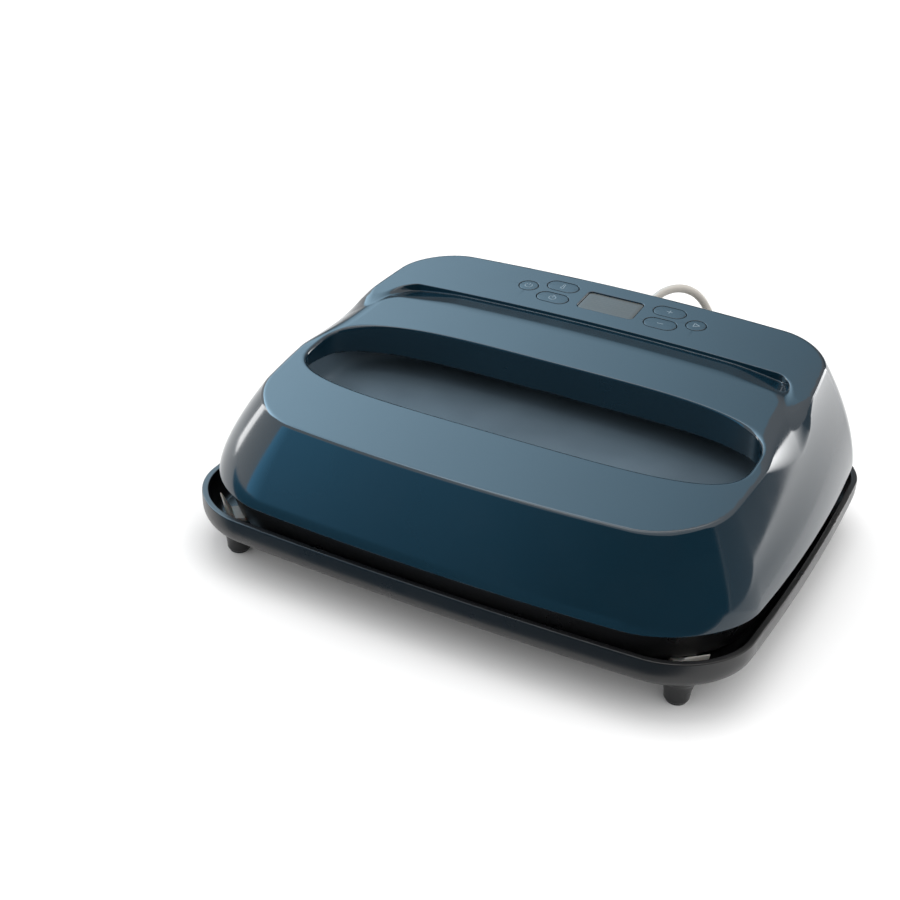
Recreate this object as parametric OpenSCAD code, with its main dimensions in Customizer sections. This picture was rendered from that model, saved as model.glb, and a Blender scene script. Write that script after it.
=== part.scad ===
// Handheld plate heat press standing on its insulated tray, with its control panel, heater,
// electronics and mains lead. Millimetres, +Z up, +Y to the rear, origin on the table under the centre.

/* [Heat plate] */
// Width of the plate, 12 inches
plate_w = 304.8; // [290:0.1:305]
// Depth of the plate, 10 inches
plate_d = 254; // [240:0.1:254]
// Thickness of the plate
plate_t = 8; // [6:0.5:8]
// Corner radius of the plate
plate_r = 48; // [47:1:60]

/* [Housing] */
// Half width of the housing at its lower edge
body_w = 164.6; // [164:0.1:166]
// Half depth of the housing at its lower edge
body_d = 139.4; // [139:0.1:141]
// Front corner radius at the lower edge
body_rf = 51; // [48:1:54]
// Rear corner radius at the lower edge
body_rb = 37; // [35:1:40]
// Half width of the top face
top_w = 142.7; // [142:0.1:144]
// Distance from the centre to the front edge of the top face
top_front = 117.7; // [117:0.1:119]
// Distance from the centre to the rear edge of the top face
top_rear = 113.8; // [113:0.1:115]
// How far each side bows out between its corners
bow = 8; // [6:0.5:9]
// Wall thickness of the mouldings
wall = 3; // [2.5:0.1:3]
// Height of the joint between the housing and the black lower housing
parting_z = 44.5; // [44:0.5:46]
// Height of the sloping top face over the centre
top_z = 102.5; // [101:0.5:104]
// Slope of the top face, in degrees
top_slope = 6.8; // [6.5:0.1:7]

/* [Handle] */
// Half width of the finger opening
grip_w = 134; // [132:0.5:134]
// Front edge of the finger opening
grip_front = -67; // [-68:0.5:-65]
// Rear edge of the finger opening, which is the front of the handle
grip_rear = 12; // [11:0.5:13]
// Rear end of the hollow under the handle
well_rear = 43; // [40:0.5:43]
// Height of the hollow's floor
well_z = 72; // [66:0.5:74]

/* [Tray] */
// Half width of the tray
tray_w = 167.2; // [167:0.1:168]
// Half depth of the tray
tray_d = 141.8; // [141:0.1:143]
// Height of the tray's rim
rim_z = 35.5; // [35:0.5:36]
// Height of the legs under the tray
leg_h = 17; // [16:0.5:18]
// Distance of each leg from the centre, sideways
leg_x = 134; // [128:1:135]
// Distance of each leg from the centre, to front and rear
leg_y = 114; // [108:1:115]

/* [Controls] */
// Width of the display window
lcd_w = 36.6; // [34:0.1:38]
// Height of the display window, along the panel
lcd_h = 22; // [20:0.1:23]
// Diameter of the round buttons
round_d = 12.6; // [12:0.1:13]
// Width of the long buttons
pill_w = 21; // [20:0.1:21]
// Height of the long buttons
pill_h = 12.4; // [11:0.1:12.6]
// Gap round each button
key_gap = 0.3; // [0.25:0.05:0.4]

/* [Cord] */
// Diameter of the mains lead
cord_d = 5.5; // [5.5:0.1:5.6]
// Middle diameter of the coiled length
coil_d = 66; // [62:1:66]

/* [Hidden] */
$fn = 48;

blue = "#1f4256";
black = "#1a1b1d";
pale = "#b9b6ae";

// Steps of each corner and of each side in an outline.
arc_steps = 6;
side_steps = 6;
eps = 0.01;

// Levels of the inside, from the tray up.
tray_t = 2.5;
floor_z = leg_h + tray_t;
pad_h = 3;
plate_z = floor_z + pad_h;
plate_top = plate_z + plate_t;
foil_t = 2.5;
wool_z = plate_top + foil_t + 0.2;
wool_t = 3.6;
web_z = plate_top + 9.5;
web_t = 2.5;
web_top = web_z + web_t;
skirt_z = 25.5;

// The plane where the collar of the finger opening meets the well below it.
collar_z = 85;
collar_slope = -5;

// Facets at the handle's ends: where they leave the top face, how fast they run out, and their stretch
// along that face.
scoop_x = 129.2;
scoop_run = 3.6;
scoop_y = [-6, 38];

// The groove between the handle and the panel, along the top face.
groove_v = [48.3, 63, 65];
groove_depth = 2.5;
groove_x = 132;

// Buttons and display: distance from the middle and along the top face.
panel_t = 2.5;
key_travel = 0.6;
round_keys = [[-55.5, 90.5], [55.5, 90.5]];
pill_keys = [[-35.5, 98.6], [-35.5, 82.8], [35.5, 98.6], [35.5, 82.8]];
lcd_v = 90.5;
board_depth = 12;
board_size = [150, 44, 1.6];
board_posts = [[-68, 74], [68, 74], [-68, 107], [68, 107]];

plate_fix = [for (x = [-118, 0, 118], y = [-112, 112]) [x, y], [-140, 0], [140, 0]];
case_fix = [for (x = [-147, 147], y = [-58, 58]) [x, y], for (x = [-72, 72], y = [-121.5, 121.5]) [x, y]];

// Mains lead: strain relief on the rear wall, and the free route from its tip to the coil.
relief_at = [0, 135.8, 64];
relief_tilt = 45;
relief_len = 28;
relief_tip = relief_at + relief_len * [0, cos(relief_tilt), sin(relief_tilt)];
coil_r = coil_d / 2;
coil_w = 3 * cord_d;
coil_z = 1;
coil_h = 15;
coil_at = [12, 196];
lead_x = coil_at.x + coil_r + cord_d;
// Guide points of the free length: over in an arch, back towards the tray as it falls, and out along
// the table.
cord_guide = [
  relief_tip, relief_tip + 7 * [0, cos(relief_tilt), sin(relief_tilt)],
  [4, 170, 96], [14, 182, 98], [25, 191, 91], [33, 193, 77], [40, 186, 66], [44, 175, 60],
  [46, 164, 54], [47, 154, 47], [48, 147, 38], [49, 145, 27], [50, 148, 16], [50, 156, 7.5],
  [lead_x, 167, 3.75], [lead_x, 174, 3.75]
];
tail_y = coil_at.y + coil_r + cord_d;
tail_route = [
  [-8.6, tail_y, 12.5], [-15, tail_y, 11.6], [-21, tail_y, 10.9], [-27, tail_y, 10.4], [-32, tail_y, 10.1],
  [-35, tail_y, 10], [-38, tail_y, 10]
];
plug_at = [-38, tail_y, 10];

// Outline with round corners and bowed sides, the same number of points at any size.
function arc_points(c, r, from) =
  [for (i = [0:arc_steps]) let (a = from + 90 * i / arc_steps) c + r * [cos(a), sin(a)]];
function between(p, q) = [for (i = [1:side_steps - 1]) p + (q - p) * i / side_steps];
function chained(arcs) =
  [for (k = [0:3], p = concat(arcs[k], between(arcs[k][arc_steps], arcs[(k + 1) % 4][0]))) p];
function bowed(p, a, b, s) =
  [p.x + sign(p.x) * s * (1 - pow(p.y / b, 2)) * pow(p.x / a, 2),
   p.y + sign(p.y) * s * (1 - pow(p.x / a, 2)) * pow(p.y / b, 2)];
function outline(w, front, rear, rf, rb, s) =
  let (a = w - s, b = (front + rear) / 2 - s, mid = (rear - front) / 2)
  let (arcs = [
    arc_points([a - rb, b - rb], rb, 0), arc_points([rb - a, b - rb], rb, 90),
    arc_points([rf - a, rf - b], rf, 180), arc_points([a - rf, rf - b], rf, 270)
  ])
  [for (p = chained(arcs)) bowed(p, a, b, s) + [0, mid]];
function mix(a, b, t) = a + (b - a) * t;

// Heights of the sloping planes.
function top_at(y) = top_z + tan(top_slope) * y;
function collar_at(y) = collar_z + tan(collar_slope) * y;

// The outer face of the housing at a fraction t of its height, drawn in by d.
flank_power = 1.5;
function flank(t) = 1 - pow(t, flank_power);
function body_outline(t, d) =
  let (g = flank(t))
  outline(mix(top_w, body_w, g) - d, mix(top_front, body_d, g) - d, mix(top_rear, body_d, g) - d,
          mix(36.7, body_rf, g) - d, mix(30.8, body_rb, g) - d, bow);
function body_ring(t, d, cap) =
  [for (p = body_outline(t, d)) [p.x, p.y, mix(parting_z, top_at(p.y) - cap, t)]];

// The finger opening: flat front, rounder rear, drawn out by d.
function opening_points(rear, d) =
  let (mid = (grip_front + rear) / 2, half = (rear - grip_front) / 2 + d)
  [for (i = [0:47]) let (a = 7.5 * i, m = sin(a) > 0 ? 2 / 2.5 : 2 / 3.8)
    [sign(cos(a)) * (grip_w + d) * pow(abs(cos(a)), 0.5),
     mid + sign(sin(a)) * half * pow(abs(sin(a)), m)]];

// A closed solid through rings of points, bottom ring first.
module loft(rings) {
  n = len(rings[0]);
  m = len(rings);
  sides = [for (k = [0:m - 2], i = [0:n - 1]) let (j = (i + 1) % n)
    each [[k * n + i, (k + 1) * n + i, (k + 1) * n + j], [k * n + i, (k + 1) * n + j, k * n + j]]];
  caps = [[for (i = [0:n - 1]) i], [for (i = [n - 1:-1:0]) (m - 1) * n + i]];
  polyhedron(points = [for (r = rings) each r], faces = concat(sides, caps), convexity = 6);
}
function flat(points, z) = [for (p = points) [p.x, p.y, z]];

// A smooth route guided by points, straight along the first and last pair.
function spline_at(p, i, t) =
  (pow(1 - t, 3) * p[i] + (3 * pow(t, 3) - 6 * t * t + 4) * p[i + 1]
   + (3 * (t + t * t - pow(t, 3)) + 1) * p[i + 2] + pow(t, 3) * p[i + 3]) / 6;
function smooth(guide, steps) =
  let (n = len(guide), p = concat([2 * guide[0] - guide[1]], guide, [2 * guide[n - 1] - guide[n - 2]]))
  concat([for (i = [0:n - 2], k = [0:steps - 1]) spline_at(p, i, k / steps)], [guide[n - 1]]);

// A round tube along a route. The reference direction is never along the route.
function unit(v) = v / norm(v);
function heading(route, i) = unit(route[min(i + 1, len(route) - 1)] - route[max(i - 1, 0)]);
function tube_ring(c, dir, r, ref, sides) =
  let (u = unit(cross(dir, ref)), v = cross(dir, u))
  [for (k = [0:sides - 1]) c + r * (cos(360 * k / sides) * u + sin(360 * k / sides) * v)];
module tube(route, r, ref, sides = 10) {
  loft([for (i = [len(route) - 1:-1:0]) tube_ring(route[i], heading(route, i), r, ref, sides)]);
}

module at_each(places) {
  for (p = places) translate([p.x, p.y, 0]) children();
}
module on_top_face() {
  translate([0, 0, top_z]) rotate([top_slope, 0, 0]) children();
}
module rod(r, z0, z1) {
  translate([0, 0, z0]) cylinder(r = r, h = z1 - z0);
}
module pill(w, h) {
  square([w - h, h], center = true);
  for (s = [-1, 1]) translate([s * (w - h) / 2, 0]) circle(d = h);
}
module soft_square(w, h, r) {
  square([w - 2 * r, h], center = true);
  square([w, h - 2 * r], center = true);
  for (x = [-1, 1], y = [-1, 1]) translate([x * (w / 2 - r), y * (h / 2 - r)]) circle(r = r);
}

// ---- Tray ----

tray_wall = 3.6;
legs = [for (x = [-leg_x, leg_x], y = [-leg_y, leg_y]) [x, y]];
pad_at = [130.5, 105.3];
pad_w = 14;
function tray_ring(inset, z) =
  flat(outline(tray_w - inset, tray_d - inset, tray_d - inset, 42 - inset, 42 - inset, 5.2), z);

module leg() {
  rotate_extrude() polygon([
    [0, 1.5], [5.6, 1.5], [7, 3.2], [7.8, 8], [8.6, 13], [10.4, leg_h + 0.5], [0, leg_h + 0.5]
  ]);
}
module tray() {
  color(black) difference() {
    union() {
      loft([
        tray_ring(9, leg_h), tray_ring(4.5, leg_h + 1.5), tray_ring(1.8, leg_h + 6), tray_ring(0, rim_z)
      ]);
      at_each(legs) leg();
    }
    loft([
      tray_ring(10, floor_z), tray_ring(6.4, floor_z + 3), tray_ring(tray_wall, rim_z - 4),
      tray_ring(tray_wall, rim_z + 1)
    ]);
  }
}
module foot_pads() {
  color("#26272a") at_each(legs)
    rotate_extrude() polygon([[0, 0], [4.6, 0], [5.6, 0.9], [5.6, 1.5], [0, 1.5]]);
}

// A wedge in each corner of the tray: a low step carries the plate, a ramp centres the housing.
module corner_pad() {
  rotate([90, 0, 0]) translate([0, 0, -pad_w / 2]) linear_extrude(pad_w) polygon([
    [-14, floor_z], [-14, plate_z], [9.2, plate_z], [10.8, plate_z + 3], [14.8, rim_z - 3.2],
    [15.4, rim_z - 3.2], [13.4, floor_z + 3.5], [9.4, floor_z]
  ]);
}
module corner_pads() {
  color(pale) for (sx = [-1, 1], sy = [-1, 1]) translate([sx * pad_at.x, sy * pad_at.y, 0])
    rotate([0, 0, atan2(sy, sx)]) translate([2, 0, 0]) corner_pad();
}

// ---- Press: housing ----

module scoop(inward) {
  on_top_face() for (s = [0, 1]) mirror([s, 0, 0]) translate([0, scoop_y[1] + inward, 0]) rotate([90, 0, 0])
    linear_extrude(scoop_y[1] - scoop_y[0] + 2 * inward) polygon([
      for (z = [20, -30]) [scoop_x - scoop_run * z - inward * norm([1, scoop_run]), z], [260, -30], [260, 20]
    ]);
}
module groove(grow) {
  on_top_face() rotate([90, 0, 90]) translate([0, 0, -groove_x - grow])
    linear_extrude(2 * (groove_x + grow)) polygon([
      [groove_v[0] - 2 * grow, 5], [groove_v[0] - 2 * grow, -grow + 0.4],
      [groove_v[1] - grow, -groove_depth - grow], [groove_v[2] + grow, -groove_depth - grow],
      [groove_v[2] + grow, 5], [groove_v[0] + 1, 5]
    ]);
}
module groove_cut() {
  on_top_face() rotate([90, 0, 90]) translate([0, 0, -groove_x]) linear_extrude(2 * groove_x) polygon([
    [groove_v[0], 0], [groove_v[1], -groove_depth], [groove_v[2], -groove_depth], [groove_v[2] + 0.4, 1],
    [groove_v[0], 1]
  ]);
}
module collar_block() {
  p = opening_points(grip_rear, wall);
  loft([[for (q = p) [q.x, q.y, collar_at(q.y)]], flat(p, 130)]);
}
module panel_posts(r, bottom) {
  on_top_face() at_each(board_posts) rod(r, -bottom, -1);
}
module shell_cavity() {
  difference() {
    loft(concat(
      [[for (p = body_outline(0, wall)) [p.x, p.y, parting_z - 1]]],
      [for (t = [0, 0.3, 0.6, 0.82, 1]) body_ring(t, wall, wall)]
    ));
    at_each(case_fix) rod(4.6, parting_z - 2, 125);
    collar_block();
    scoop(wall);
    groove(wall - 0.4);
    panel_posts(3.2, board_depth);
  }
}
module relief_frame() {
  translate(relief_at) rotate([relief_tilt - 90, 0, 0]) children();
}
module housing_shell() {
  color(blue) difference() {
    loft([for (t = [0, 0.2, 0.4, 0.6, 0.8, 1]) body_ring(t, 0, 0)]);
    shell_cavity();
    translate([0, 0, 70]) linear_extrude(60) polygon(opening_points(grip_rear, 0));
    scoop(0);
    groove_cut();
    at_each(case_fix) rod(1.6, parting_z - 1, parting_z + 16);
    on_top_face() {
      at_each(board_posts) rod(1.3, -board_depth - 1, -4);
      translate([0, lcd_v, -6]) linear_extrude(10) soft_square(lcd_w, lcd_h, 3);
      at_each(round_keys) rod(round_d / 2, -6, 2);
      at_each(pill_keys) translate([0, 0, -6]) linear_extrude(8) pill(pill_w, pill_h);
    }
    relief_frame() rod(5.6, -12, 12);
  }
}

// The grey bowl, with steep walls and a flat floor: it follows the opening at the front and sides and
// runs back under the handle. The floor's outline is the rim's, drawn in towards the line y = well_mid.
well_mid = 6;
well_t = 2.5;
well_square = 0.4;
floor_share = [0.86, 0.4, 0.8];  // of the rim's width, and of its depth to the front and to the rear
function ease(t) = let (k = min(1, max(0, t))) k * k * (3 - 2 * k);
function well_ring(t, d) =
  let (in = 1 - pow(cos(90 * t), well_square), down = pow(sin(90 * t), well_square))
  let (p = opening_points(grip_rear, d))
  [for (i = [0:47]) let (
      rim_y = p[i].y + (well_rear - grip_rear) * pow(max(0, sin(7.5 * i)), 0.5),
      share = mix(floor_share[1], floor_share[2], ease(sin(7.5 * i) / 0.6))
    ) [p[i].x * mix(1, floor_share[0], in), mix(rim_y, mix(well_mid, rim_y, share), in),
       mix(collar_at(rim_y), well_z, down)]];
module handle_well() {
  up = [for (p = well_ring(0, 0)) [p.x, p.y, p.z + 4]];
  color("#33383d") difference() {
    loft([for (t = [1, 0.75, 0.5, 0.25, 0]) [for (p = well_ring(t, well_t)) [p.x, p.y, p.z - well_t * t]]]);
    loft(concat([for (t = [1, 0.75, 0.5, 0.25, 0]) well_ring(t, 0)], [up]));
  }
}
module handle_underside() {
  well = [for (p = well_ring(0, well_t)) [p.x, p.y]];
  color("#33383d") intersection() {
    translate([0, 0, collar_z]) rotate([collar_slope, 0, 0]) translate([-150, -80, 0]) cube([300, 140, 2.5]);
    translate([0, 0, 70]) linear_extrude(30) difference() {
      polygon(well);
      polygon(opening_points(grip_rear, wall + 0.2));
      for (s = [-1, 1]) translate([s * 150, 0]) square([40, 200], center = true);
    }
  }
}

module skirt_ring(z, d) {
  loft([
    flat(outline(157 - d, 132 - d, 132 - d, 50 - d, 37 - d, bow), skirt_z - z),
    flat(outline(162 - d, 137 - d, 137 - d, 50.5 - d, 37 - d, bow), parting_z + z)
  ]);
}
lead_hole = [-95, 66];
module lower_housing() {
  color("#202022") difference() {
    union() {
      difference() {
        skirt_ring(0, 0);
        skirt_ring(eps, 2.5);
      }
      difference() {
        translate([0, 0, web_z]) linear_extrude(web_t) polygon(outline(159.6, 134.6, 134.6, 48, 35, bow));
        translate([0, 0, web_z - 1]) linear_extrude(web_t + 2) {
          translate([-60, -40]) soft_square(60, 30, 6);
          translate([60, -40]) soft_square(60, 30, 6);
        }
      }
      at_each(case_fix) rod(4.6, web_z, parting_z);
    }
    at_each(case_fix) rod(2.1, web_z - 1, parting_z + 1);
    at_each(plate_fix) rod(2.2, web_z - 1, web_top + 1);
    at_each([lead_hole]) rod(6, web_z - 1, web_top + 1);
  }
}

// ---- Press: heater ----

module heat_plate() {
  color("#9aa0a3") difference() {
    translate([0, 0, plate_z]) linear_extrude(plate_t)
      polygon(outline(plate_w / 2, plate_d / 2, plate_d / 2, plate_r, plate_r, 6));
    at_each(plate_fix) rod(2.05, plate_top - 6, plate_top + 1);
  }
}

// One ribbon heater that runs to and fro across the plate.
run_pitch = 32;
run_half = 96;
ribbon_w = 9;
module half_turn() {
  rotate_extrude(angle = 180) translate([(run_pitch - ribbon_w) / 2, 0]) square([ribbon_w, foil_t]);
}
module heating_element() {
  color("#8a6a48") translate([0, 0, plate_top]) {
    for (k = [-3:3]) translate([-run_half, k * run_pitch - ribbon_w / 2, 0])
      cube([2 * run_half, ribbon_w, foil_t]);
    for (k = [-3:2]) translate([(k % 2 == 0 ? 1 : -1) * run_half, (k + 0.5) * run_pitch, 0])
      rotate([0, 0, k % 2 == 0 ? -90 : 90]) half_turn();
  }
}
thermostat_at = [-40, 16];
fuse_at = [40, 16];
sensor_at = [0, 48];
module insulation_sheet() {
  color("#d8d2c2") translate([0, 0, wool_z]) difference() {
    linear_extrude(wool_t) polygon(outline(132, 105, 105, 40, 40, 5));
    at_each([thermostat_at, fuse_at, sensor_at]) rod(12, -1, wool_t + 1);
    at_each([lead_hole]) rod(8, -1, wool_t + 1);
  }
}
module plate_spacers() {
  color("#e8e4da") at_each(plate_fix) difference() {
    rod(4.5, plate_top, web_z);
    rod(2.1, plate_top - 1, web_z + 1);
  }
}
module plate_screws() {
  color("silver") at_each(plate_fix) {
    rod(2, plate_top - 5.5, web_top + 0.5);
    rod(3.8, web_top, web_top + 2.6);
  }
}
module thermostat() {
  color("#caa24a") at_each([thermostat_at]) {
    rod(8, plate_top, plate_top + 6);
    rod(6, plate_top + 5, plate_top + 8.6);
    for (s = [-1, 1]) translate([s * 8.6 - 3, -3.2, plate_top]) cube([6, 6.4, 0.8]);
  }
}
module thermal_fuse() {
  color("#b8b8b8") translate([fuse_at.x, fuse_at.y, plate_top]) {
    translate([-7, 0, 2]) rotate([0, 90, 0]) cylinder(r = 2, h = 14);
    translate([-3, -4.5, 0]) cube([6, 9, 0.6]);
  }
}
module temperature_sensor() {
  color("#d9d0b0") at_each([sensor_at]) {
    rod(4, plate_top, plate_top + 3);
    rod(2, plate_top + 2, plate_top + 8.5);
  }
}

// ---- Press: fastenings and electronics ----

module housing_screws() {
  color("#55575a") at_each(case_fix) {
    rod(1.55, web_z - 1, parting_z + 14);
    rod(3.8, web_z - 2.6, web_z);
  }
}
board_z = web_top + 8;
board_t = 1.6;
power_posts = [[-126, 60], [-26, 60], [-126, 100], [-26, 100]];
module power_board() {
  color("#2f6b3c") difference() {
    union() {
      translate([-132, 54, board_z]) cube([112, 52, board_t]);
      at_each(power_posts) rod(3, web_top, board_z + eps);
    }
    at_each(power_posts) rod(1.4, web_top - 1, board_z + 3);
  }
}
module power_parts() {
  z = board_z + board_t;
  color("#d9c86a") translate([-118, 66, z]) cube([30, 28, 24]);
  color("#1f2f66") translate([-80, 64, z]) cube([16, 20, 16]);
  color("#3a3a3a") at_each([[-48, 70], [-48, 90]]) rod(6, z, z + 20);
  color("#8d9194") translate([-84, 90, z]) cube([26, 6, 22]);
}
module control_board() {
  color("#2f6b3c") on_top_face() translate([0, lcd_v, -board_depth - board_size.z]) difference() {
    linear_extrude(board_size.z) soft_square(board_size.x, board_size.y, 2);
    at_each([for (p = board_posts) p - [0, lcd_v]]) rod(1.6, -1, 3);
  }
}
module board_screws() {
  color("silver") on_top_face() at_each(board_posts) {
    rod(1.25, -board_depth - 1.7, -5);
    rod(2.6, -board_depth - 3.6, -board_depth - 1.6);
  }
}
module display_module() {
  color("#3b3f42") on_top_face() translate([0, lcd_v, -board_depth])
    linear_extrude(board_depth - panel_t - 0.7) soft_square(lcd_w + 5, lcd_h + 5, 2);
}
module display_window() {
  color("#8e9088") on_top_face() translate([0, lcd_v, -panel_t - 0.7]) linear_extrude(panel_t + 0.5)
    soft_square(lcd_w - 0.3, lcd_h - 0.3, 2.85);
}

// Rubber mat with a dome below each button, which leaves the button its travel.
module switch_mat() {
  color("#c9c9c4") on_top_face() {
    for (s = [-1, 1]) translate([s * 44.5, lcd_v, -board_depth]) linear_extrude(1.4) soft_square(40, 36, 3);
    at_each(concat(round_keys, pill_keys)) rod(3.4, -board_depth + 1, -board_depth + 3.6);
  }
}
module buzzer() {
  color("#222222") on_top_face() translate([52, 100, -board_depth - 1.6 - 7]) rod(6, 0, 7);
}
module ribbon_cable() {
  zb = board_z + board_t;
  color("#b4b4b4") translate([-34, 0, 0]) rotate([90, 0, 90]) linear_extrude(12) polygon([
    [100.6, zb], [100.6, zb + 26], [94, zb + 34], [94, top_at(94) - board_depth - 3.4],
    [92.8, top_at(92.8) - board_depth - 3.4], [92.8, zb + 33.4], [99.4, zb + 25.4], [99.4, zb]
  ]);
}
wire_r = 1.1;
module heater_leads() {
  route = [
    [-97, 66, plate_top + foil_t], [-97, 66, web_z - 2], [-97, 66.5, web_top + 1],
    [-96.5, 69, board_z - 3.5], [-96.5, 70, board_z - 1.5], [-96.5, 70, board_z]
  ];
  for (s = [0, 1]) color(["#b23b32", "#e3ded2"][s])
    tube([for (p = route) p + [4 * s, 0, 0]], wire_r, [1, 0, 0], 8);
}
module mains_leads() {
  for (k = [0:2]) color(["#242424", "#e6e3da", "#3f7a3a"][k])
    tube([[3 * k - 3, 128, 57], [3 * k - 3, 119.5, 60], [2.6 * k - 6, 112, 62], [-12 + k, 104 - 3 * k, 62],
          [-19 - k, 96 - 4 * k, 60], [-24 - k, 90 - 5 * k, 57.5], [-25 - k, 88 - 5 * k, board_z + 3.4],
          [-25 - k, 88 - 5 * k, board_z + board_t]],
         wire_r, [0, 0.2, 1], 8);
}

// Clamp that holds the lead inside the rear wall.
module cord_clamp() {
  color("#2a2b2d") translate([0, 122, 0]) difference() {
    translate([-16, -4, web_top]) cube([32, 7, 12]);
    at_each([[-12, 0], [12, 0]]) rod(1.5, web_top - 1, web_top + 13);
  }
}
module clamp_screws() {
  color("silver") at_each([[-12, 122], [12, 122]]) {
    rod(1.45, web_top + 1, web_top + 12.5);
    rod(2.8, web_top + 12, web_top + 14);
  }
}

// ---- Press: buttons ----

module key_stem() {
  rod(2.4, -board_depth + 3.6 + key_travel + 0.2, -panel_t);
}
module round_button(p) {
  on_top_face() translate([p.x, p.y, 0]) {
    rod(round_d / 2 - key_gap, -panel_t - 1, 0.2);
    rod(round_d / 2 + 0.9, -panel_t - 1.9 - 0.6, -panel_t - 0.6);
    key_stem();
  }
}
module pill_button(p) {
  on_top_face() translate([p.x, p.y, 0]) {
    translate([0, 0, -panel_t - 1]) linear_extrude(panel_t + 1.2)
      pill(pill_w - 2 * key_gap, pill_h - 2 * key_gap);
    translate([0, 0, -panel_t - 2.5]) linear_extrude(1.9) pill(pill_w + 1.8, pill_h + 1.8);
    key_stem();
  }
}
module button_power() { color(blue) round_button(round_keys[0]); }
module button_start() { color(blue) round_button(round_keys[1]); }
module button_temperature() { color(blue) pill_button(pill_keys[0]); }
module button_timer() { color(blue) pill_button(pill_keys[1]); }
module button_plus() { color(blue) pill_button(pill_keys[2]); }
module button_minus() { color(blue) pill_button(pill_keys[3]); }

// ---- Mains lead ----

module strain_relief() {
  color(pale) relief_frame() rotate_extrude() polygon([
    [0, -9], [5.5, -9], [5.5, 6], [7, 6.5], [7, 8.5], [5.4, 11], [3.9, relief_len], [0, relief_len]
  ]);
}
module cord() {
  color(pale) tube(smooth(cord_guide, 3), cord_d / 2, [0.8, -0.3, 0.4]);
}
module cord_coil() {
  color(pale) translate([coil_at.x, coil_at.y, coil_z]) rotate_extrude()
    translate([coil_r - coil_w / 2, 0]) square([coil_w, coil_h]);
}
module cord_tail() {
  color(pale) tube(tail_route, cord_d / 2, [0, 0.2, 1]);
}
tie_at = 215;
tie_w = 10;
module cord_tie() {
  color("#1e1e20") translate([coil_at.x, coil_at.y, 0]) rotate([0, 0, tie_at]) translate([coil_r, 0, 0])
    rotate([90, 0, 0]) translate([0, 0, -tie_w / 2]) linear_extrude(tie_w) difference() {
      translate([-coil_w / 2 - 1.2, 0]) square([coil_w + 2.4, coil_h + 2]);
      translate([-coil_w / 2, coil_z]) square([coil_w, coil_h]);
    }
}
module plug_body() {
  color(pale) translate(plug_at) rotate([0, -90, 0]) {
    cylinder(r1 = 3.6, r2 = 5, h = 22);
    hull() for (y = [-1, 1]) {
      translate([-2, y * 5, 20]) sphere(r = 7, $fn = 32);
      translate([8, y * 4, 24]) sphere(r = 6, $fn = 32);
      for (x = [-4, 12]) translate([x, y * 7, 40]) cylinder(r = 5.4, h = 12, $fn = 32);
    }
  }
}
plug_face = plug_at - [52, 0, 0];
blade = [16, 1.5, 6.35];
blade_gap = 12.7;
module plug_blades() {
  color("#c8b27a") for (s = [-1, 1])
    translate(plug_face + [-blade.x, (s * blade_gap - blade.y) / 2, -4]) cube(blade);
}
pin_d = 4.8;
pin_len = 20;
module earth_pin() {
  color("#c8b27a") translate(plug_face + [-pin_len, 0, 11]) rotate([0, 90, 0])
    cylinder(d = pin_d, h = pin_len);
}

tray();
foot_pads();
corner_pads();
housing_shell();
handle_well();
handle_underside();
lower_housing();
heat_plate();
heating_element();
insulation_sheet();
plate_spacers();
plate_screws();
thermostat();
thermal_fuse();
temperature_sensor();
housing_screws();
power_board();
power_parts();
control_board();
board_screws();
display_module();
display_window();
switch_mat();
buzzer();
ribbon_cable();
heater_leads();
mains_leads();
cord_clamp();
clamp_screws();
button_power();
button_temperature();
button_timer();
button_plus();
button_minus();
button_start();
strain_relief();
cord();
cord_coil();
cord_tail();
cord_tie();
plug_body();
plug_blades();
earth_pin();
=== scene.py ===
"""A plate heat press on its insulated tray, built for Blender 4.5 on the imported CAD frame.

Lengths inside the builders are in millimetres and become metres when a mesh is made.
"""

import math

import bmesh
import bpy
import numpy as np
from mathutils import Matrix, Vector
from mathutils.geometry import delaunay_2d_cdt


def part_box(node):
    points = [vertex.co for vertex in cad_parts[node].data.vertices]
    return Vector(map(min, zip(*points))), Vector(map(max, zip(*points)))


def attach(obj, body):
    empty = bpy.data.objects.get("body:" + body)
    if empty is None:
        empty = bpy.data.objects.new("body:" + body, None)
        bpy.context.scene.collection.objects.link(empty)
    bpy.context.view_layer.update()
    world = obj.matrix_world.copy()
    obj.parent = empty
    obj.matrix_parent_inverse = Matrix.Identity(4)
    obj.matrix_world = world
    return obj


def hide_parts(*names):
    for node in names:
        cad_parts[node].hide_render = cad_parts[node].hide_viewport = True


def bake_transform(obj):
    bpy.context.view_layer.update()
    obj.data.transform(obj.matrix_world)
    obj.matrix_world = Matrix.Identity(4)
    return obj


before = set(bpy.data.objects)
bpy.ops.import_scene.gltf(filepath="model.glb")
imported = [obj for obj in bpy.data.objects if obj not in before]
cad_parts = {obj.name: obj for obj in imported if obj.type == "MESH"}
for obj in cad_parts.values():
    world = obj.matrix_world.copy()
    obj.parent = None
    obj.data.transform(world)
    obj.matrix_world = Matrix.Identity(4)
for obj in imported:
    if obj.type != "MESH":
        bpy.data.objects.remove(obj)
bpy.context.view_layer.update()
MM = 0.001


def low(node):
    """Lowest corner of a CAD node, in millimetres."""
    return np.array(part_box(node)[0]) / MM


def high(node):
    """Highest corner of a CAD node, in millimetres."""
    return np.array(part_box(node)[1]) / MM


# ---- driving sizes

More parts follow.
